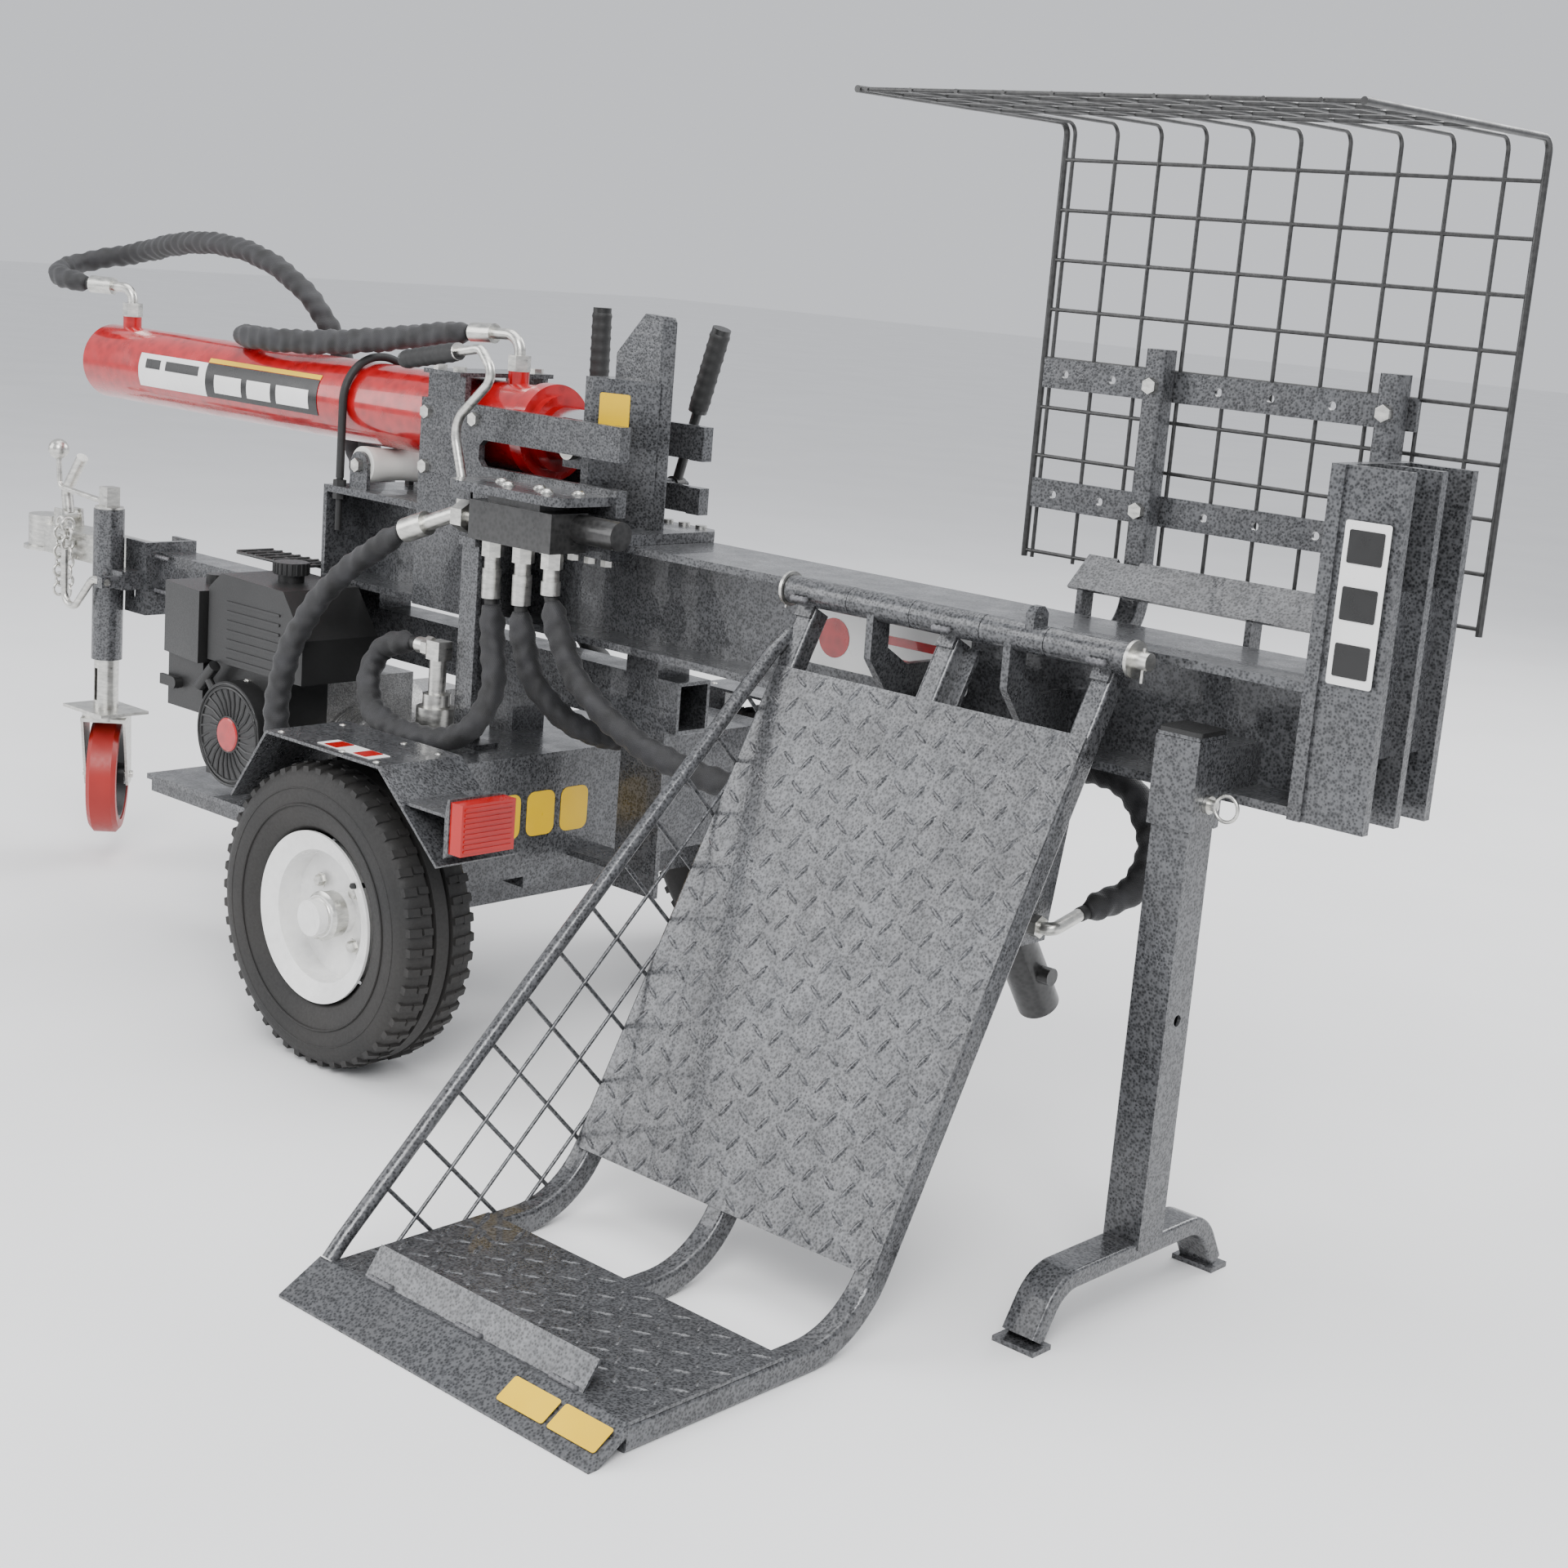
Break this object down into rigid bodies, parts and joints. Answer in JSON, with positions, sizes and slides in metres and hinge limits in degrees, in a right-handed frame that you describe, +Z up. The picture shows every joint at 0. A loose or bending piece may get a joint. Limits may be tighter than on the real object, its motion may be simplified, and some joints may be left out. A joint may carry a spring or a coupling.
{
  "type": "log splitter",
  "caption": "Towable horizontal log splitter with ram, wedge, foot plate, guard, tilting log lift table, engine, oil tank, wheels and jockey wheel.",
  "frame": {"origin": "bottom centre of the box round the machine without its hoses, on the ground", "axes": "+X along the beam from the tow coupler to the foot plate, +Z up, the log lift table on the -Y side"},
  "size_m": [2.661, 1.38, 1.288],
  "materials": {
    "hammertone": "hammertone, satin",
    "red_paint": "gloss",
    "white_paint": "gloss",
    "zinc": "satin zinc plate",
    "chrome": "polished",
    "rubber": "matt",
    "tyre": "matt",
    "white_nylon": "matt",
    "black_plastic": "matt",
    "black_paint": "satin",
    "cast_aluminium": "as cast",
    "hose_sleeve": "woven",
    "red_urethane": "satin",
    "red_lens": "clear"
  },
  "bodies": {
    "frame": {"main_beam": "hammertone", "foot_plate": "hammertone", "lift_mounts": "hammertone", "leg_sleeve": "hammertone", "barrel_strap": "rubber", "cylinder_barrel": "red_paint", "ram_bracket": "hammertone", "frame_fasteners": "zinc", "guard_mesh": "black_paint", "guard_frame": "hammertone", "oil_tank": "hammertone", "chassis": "hammertone", "fenders": "hammertone", "tail_lights": "red_lens", "coupler": "zinc", "safety_chains": "zinc", "engine_block": "cast_aluminium", "engine_covers": "black_plastic", "muffler": "zinc", "hydraulic_pump": "cast_aluminium", "valve_stand": "hammertone", "valve_body": "black_paint", "hose_fittings": "zinc", "hose_ram_rear": "hose_sleeve", "hose_ram_front": "hose_sleeve", "hose_inlet": "hose_sleeve", "hose_return": "hose_sleeve", "hose_far": "hose_sleeve", "hose_lift": "hose_sleeve"},
    "ram": {"piston_rod": "chrome", "wedge": "hammertone", "wedge_fasteners": "zinc"},
    "roller": {"barrel_roller": "white_nylon"},
    "leg": {"support_leg": "hammertone"},
    "leg_pin_body": {"leg_pin": "zinc"},
    "table": {"table_frame": "hammertone", "table_decks": "hammertone", "table_side": "hammertone"},
    "lift_cylinder": {"lift_barrel": "black_paint"},
    "lift_piston": {"lift_rod": "chrome"},
    "wheel_near": {"rim_near": "white_paint", "tyre_near": "tyre"},
    "wheel_far": {"rim_far": "white_paint", "tyre_far": "tyre"},
    "jockey_stem": {"caster_stem": "zinc"},
    "crank": {"jockey_crank": "zinc"},
    "fork": {"caster_fork": "zinc"},
    "jockey_roll": {"caster_wheel": "black_plastic", "caster_tread": "red_urethane"},
    "clamp": {"clamp_handle": "zinc"},
    "latch": {"coupler_latch": "zinc"},
    "lever": {"control_lever": "black_paint"},
    "spool": {"valve_spool": "chrome"},
    "lever_a": {"far_lever_a": "black_plastic"},
    "lever_b": {"far_lever_b": "black_plastic"},
    "shaft": {"crankshaft": "chrome"},
    "starter": {"pull_handle": "black_plastic"},
    "filler": {"fuel_cap": "black_plastic"},
    "tank_filler": {"tank_cap": "black_plastic"},
    "throttle": {"engine_levers": "black_plastic"}
  },
  "joints": [
    {"name": "ram_slide", "type": "slide", "parent": "frame", "child": "ram", "axis": [1, 0, 0], "range_m": [0, 0.85]},
    {"name": "roller_spin", "type": "hinge", "parent": "frame", "child": "roller", "pos_m": [-0.3465, 0.148, 0.75], "axis": [0, 1, 0], "continuous": true},
    {"name": "leg_slide", "type": "slide", "parent": "frame", "child": "leg", "axis": [0, 0, 1], "range_m": [0, 0.35]},
    {"name": "leg_pin_slide", "type": "slide", "parent": "frame", "child": "leg_pin_body", "axis": [1, 0, 0], "range_m": [0, 0.03]},
    {"name": "table_lift", "type": "hinge", "parent": "frame", "child": "table", "pos_m": [0.8135, 0.031, 0.711], "axis": [-1, 0, 0], "range_deg": [0, 62]},
    {"name": "lift_swing", "type": "hinge", "parent": "frame", "child": "lift_cylinder", "pos_m": [0.8635, 0.12196, 0.36087], "axis": [1, 0, 0], "range_deg": [0, 9]},
    {"name": "lift_extend", "type": "slide", "parent": "lift_cylinder", "child": "lift_piston", "axis": [0, -0.5736, 0.8192], "range_m": [0, 0.175]},
    {"name": "wheel_near_spin", "type": "hinge", "parent": "frame", "child": "wheel_near", "pos_m": [0.0195, -0.192, 0.205], "axis": [0, 1, 0], "continuous": true},
    {"name": "wheel_far_spin", "type": "hinge", "parent": "frame", "child": "wheel_far", "pos_m": [0.0195, 0.628, 0.205], "axis": [0, 1, 0], "continuous": true},
    {"name": "jockey_height", "type": "slide", "parent": "frame", "child": "jockey_stem", "axis": [0, 0, 1], "range_m": [-0.05, 0.05]},
    {"name": "crank_turn", "type": "hinge", "parent": "frame", "child": "crank", "pos_m": [-0.9735, 0.068, 0.62], "axis": [0, 0, 1], "continuous": true},
    {"name": "caster_swivel", "type": "hinge", "parent": "jockey_stem", "child": "fork", "pos_m": [-0.9735, 0.068, 0.25], "axis": [0, 0, 1], "continuous": true},
    {"name": "caster_roll", "type": "hinge", "parent": "fork", "child": "jockey_roll", "pos_m": [-1.00567, 0.095, 0.15], "axis": [-0.6428, -0.766, 0], "continuous": true},
    {"name": "clamp_turn", "type": "hinge", "parent": "frame", "child": "clamp", "pos_m": [-0.9735, 0.026, 0.493], "axis": [1, 0, 0], "range_deg": [-60, 0]},
    {"name": "latch_lift", "type": "hinge", "parent": "frame", "child": "latch", "pos_m": [-1.2265, 0.148, 0.558], "axis": [0, 1, 0], "range_deg": [-35, 0]},
    {"name": "control_lever_turn", "type": "hinge", "parent": "frame", "child": "lever", "pos_m": [-0.0285, 0.016, 0.752], "axis": [0, 1, 0], "range_deg": [-8, 8], "stiffness_Nm_per_rad": 10},
    {"name": "spool_slide", "type": "slide", "parent": "frame", "child": "spool", "axis": [1, 0, 0], "range_m": [-0.004, 0.004]},
    {"name": "far_lever_a_turn", "type": "hinge", "parent": "frame", "child": "lever_a", "pos_m": [-0.0325, 0.26, 0.776], "axis": [0, 1, 0], "range_deg": [-12, 12]},
    {"name": "far_lever_b_turn", "type": "hinge", "parent": "frame", "child": "lever_b", "pos_m": [0.1315, 0.26, 0.776], "axis": [0, 1, 0], "range_deg": [-12, 12]},
    {"name": "crank_spin", "type": "hinge", "parent": "frame", "child": "shaft", "pos_m": [-0.4115, 0.088, 0.35], "axis": [0, 1, 0], "continuous": true},
    {"name": "starter_pull", "type": "slide", "parent": "frame", "child": "starter", "axis": [0, -1, 0], "range_m": [0, 0.3], "stiffness_N_per_m": 30},
    {"name": "filler_turn", "type": "hinge", "parent": "frame", "child": "filler", "pos_m": [-0.3815, -0.002, 0.59], "axis": [0, 0, 1], "range_deg": [0, 120]},
    {"name": "tank_filler_turn", "type": "hinge", "parent": "frame", "child": "tank_filler", "pos_m": [0.0085, 0.398, 0.44], "axis": [0, 0, 1], "continuous": true},
    {"name": "throttle_turn", "type": "hinge", "parent": "frame", "child": "throttle", "pos_m": [-0.5715, -0.067, 0.398], "axis": [0, 1, 0], "range_deg": [-25, 0]}
  ],
  "couplings": [
    {"joint": "lift_swing", "follows": "table_lift", "ratio": 0.138},
    {"joint": "lift_extend", "follows": "table_lift", "m_per_rad": 0.159},
    {"joint": "spool_slide", "follows": "control_lever_turn", "m_per_rad": -0.02}
  ]
}
